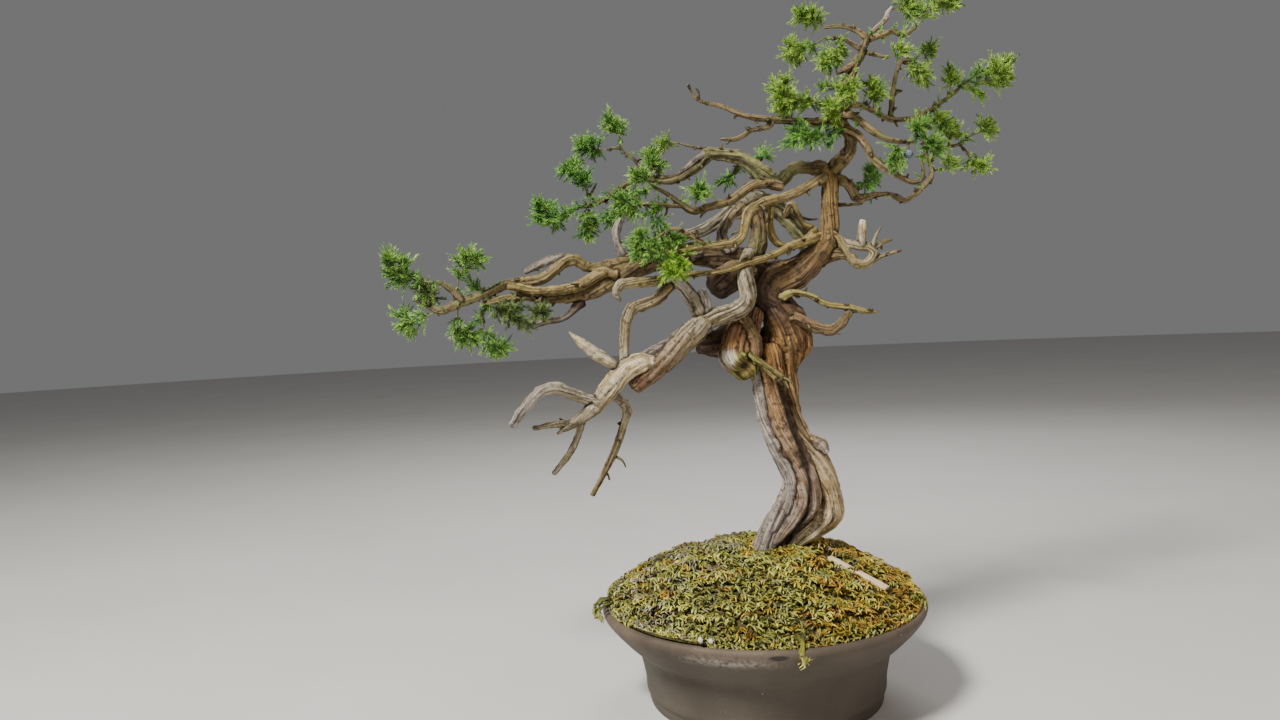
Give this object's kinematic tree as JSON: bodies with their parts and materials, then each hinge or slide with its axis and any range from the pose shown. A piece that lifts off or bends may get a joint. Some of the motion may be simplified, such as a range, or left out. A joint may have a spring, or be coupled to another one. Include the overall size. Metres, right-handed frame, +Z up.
{
  "type": "juniper bonsai",
  "caption": "Old twisted juniper bonsai with bleached deadwood and sparse green pads, in a round unglazed pot with a wide lip and a mound of moss.",
  "frame": {"origin": "centre of the pot's flat underside, which stands on the surface", "axes": "+Z up, +X to the right of the tree's front view, +Y towards its back"},
  "size_m": [0.5874, 0.29, 0.6304],
  "materials": {
    "wood": "rough weathered wood and bark",
    "foliage": "soft needles with a faint wax sheen",
    "berry": "bloomed, matte",
    "clay": "unglazed, matte",
    "soil": "coarse granular soil",
    "moss": "dry long-strand moss",
    "net": "matte",
    "pale_wood": "planed, matte"
  },
  "bodies": {
    "root": {"berry": "berry", "drain_net_1": "net", "drain_net_2": "net", "drain_net_3": "net", "foliage_apex_droop": "foliage", "foliage_apex_hanging": "foliage", "foliage_apex_heart": "foliage", "foliage_apex_hook": "foliage", "foliage_apex_left": "foliage", "foliage_apex_low": "foliage", "foliage_apex_middle": "foliage", "foliage_apex_right": "foliage", "foliage_apex_twig": "foliage", "foliage_crown_big": "foliage", "foliage_crown_drop": "foliage", "foliage_crown_inner": "foliage", "foliage_crown_low": "foliage", "foliage_crown_middle": "foliage", "foliage_crown_side": "foliage", "foliage_crown_top": "foliage", "foliage_crown_upper": "foliage", "foliage_front_arch": "foliage", "foliage_front_right": "foliage", "foliage_front_right_end": "foliage", "foliage_front_right_low": "foliage", "foliage_front_tip": "foliage", "foliage_front_under": "foliage", "foliage_front_upper": "foliage", "foliage_front_yellow": "foliage", "foliage_front_yellow_low": "foliage", "foliage_hook_low": "foliage", "foliage_hook_upper": "foliage", "foliage_left_drop": "foliage", "foliage_left_grey": "foliage", "foliage_left_inner": "foliage", "foliage_left_point": "foliage", "foliage_left_small": "foliage", "foliage_left_tip": "foliage", "foliage_left_top": "foliage", "foliage_left_under": "foliage", "foliage_middle_back": "foliage", "foliage_middle_light": "foliage", "foliage_middle_top": "foliage", "foliage_right_drop": "foliage", "foliage_right_end": "foliage", "foliage_right_fork": "foliage", "foliage_right_inner": "foliage", "foliage_right_light": "foliage", "foliage_right_low": "foliage", "foliage_right_middle": "foliage", "foliage_right_stub": "foliage", "foliage_right_twig": "foliage", "foliage_top_left": "foliage", "foliage_top_right": "foliage", "foliage_wisp": "foliage", "moss": "moss", "pot": "clay", "soil": "soil", "stick": "pale_wood", "tree": "wood"}
  },
  "joints": []
}
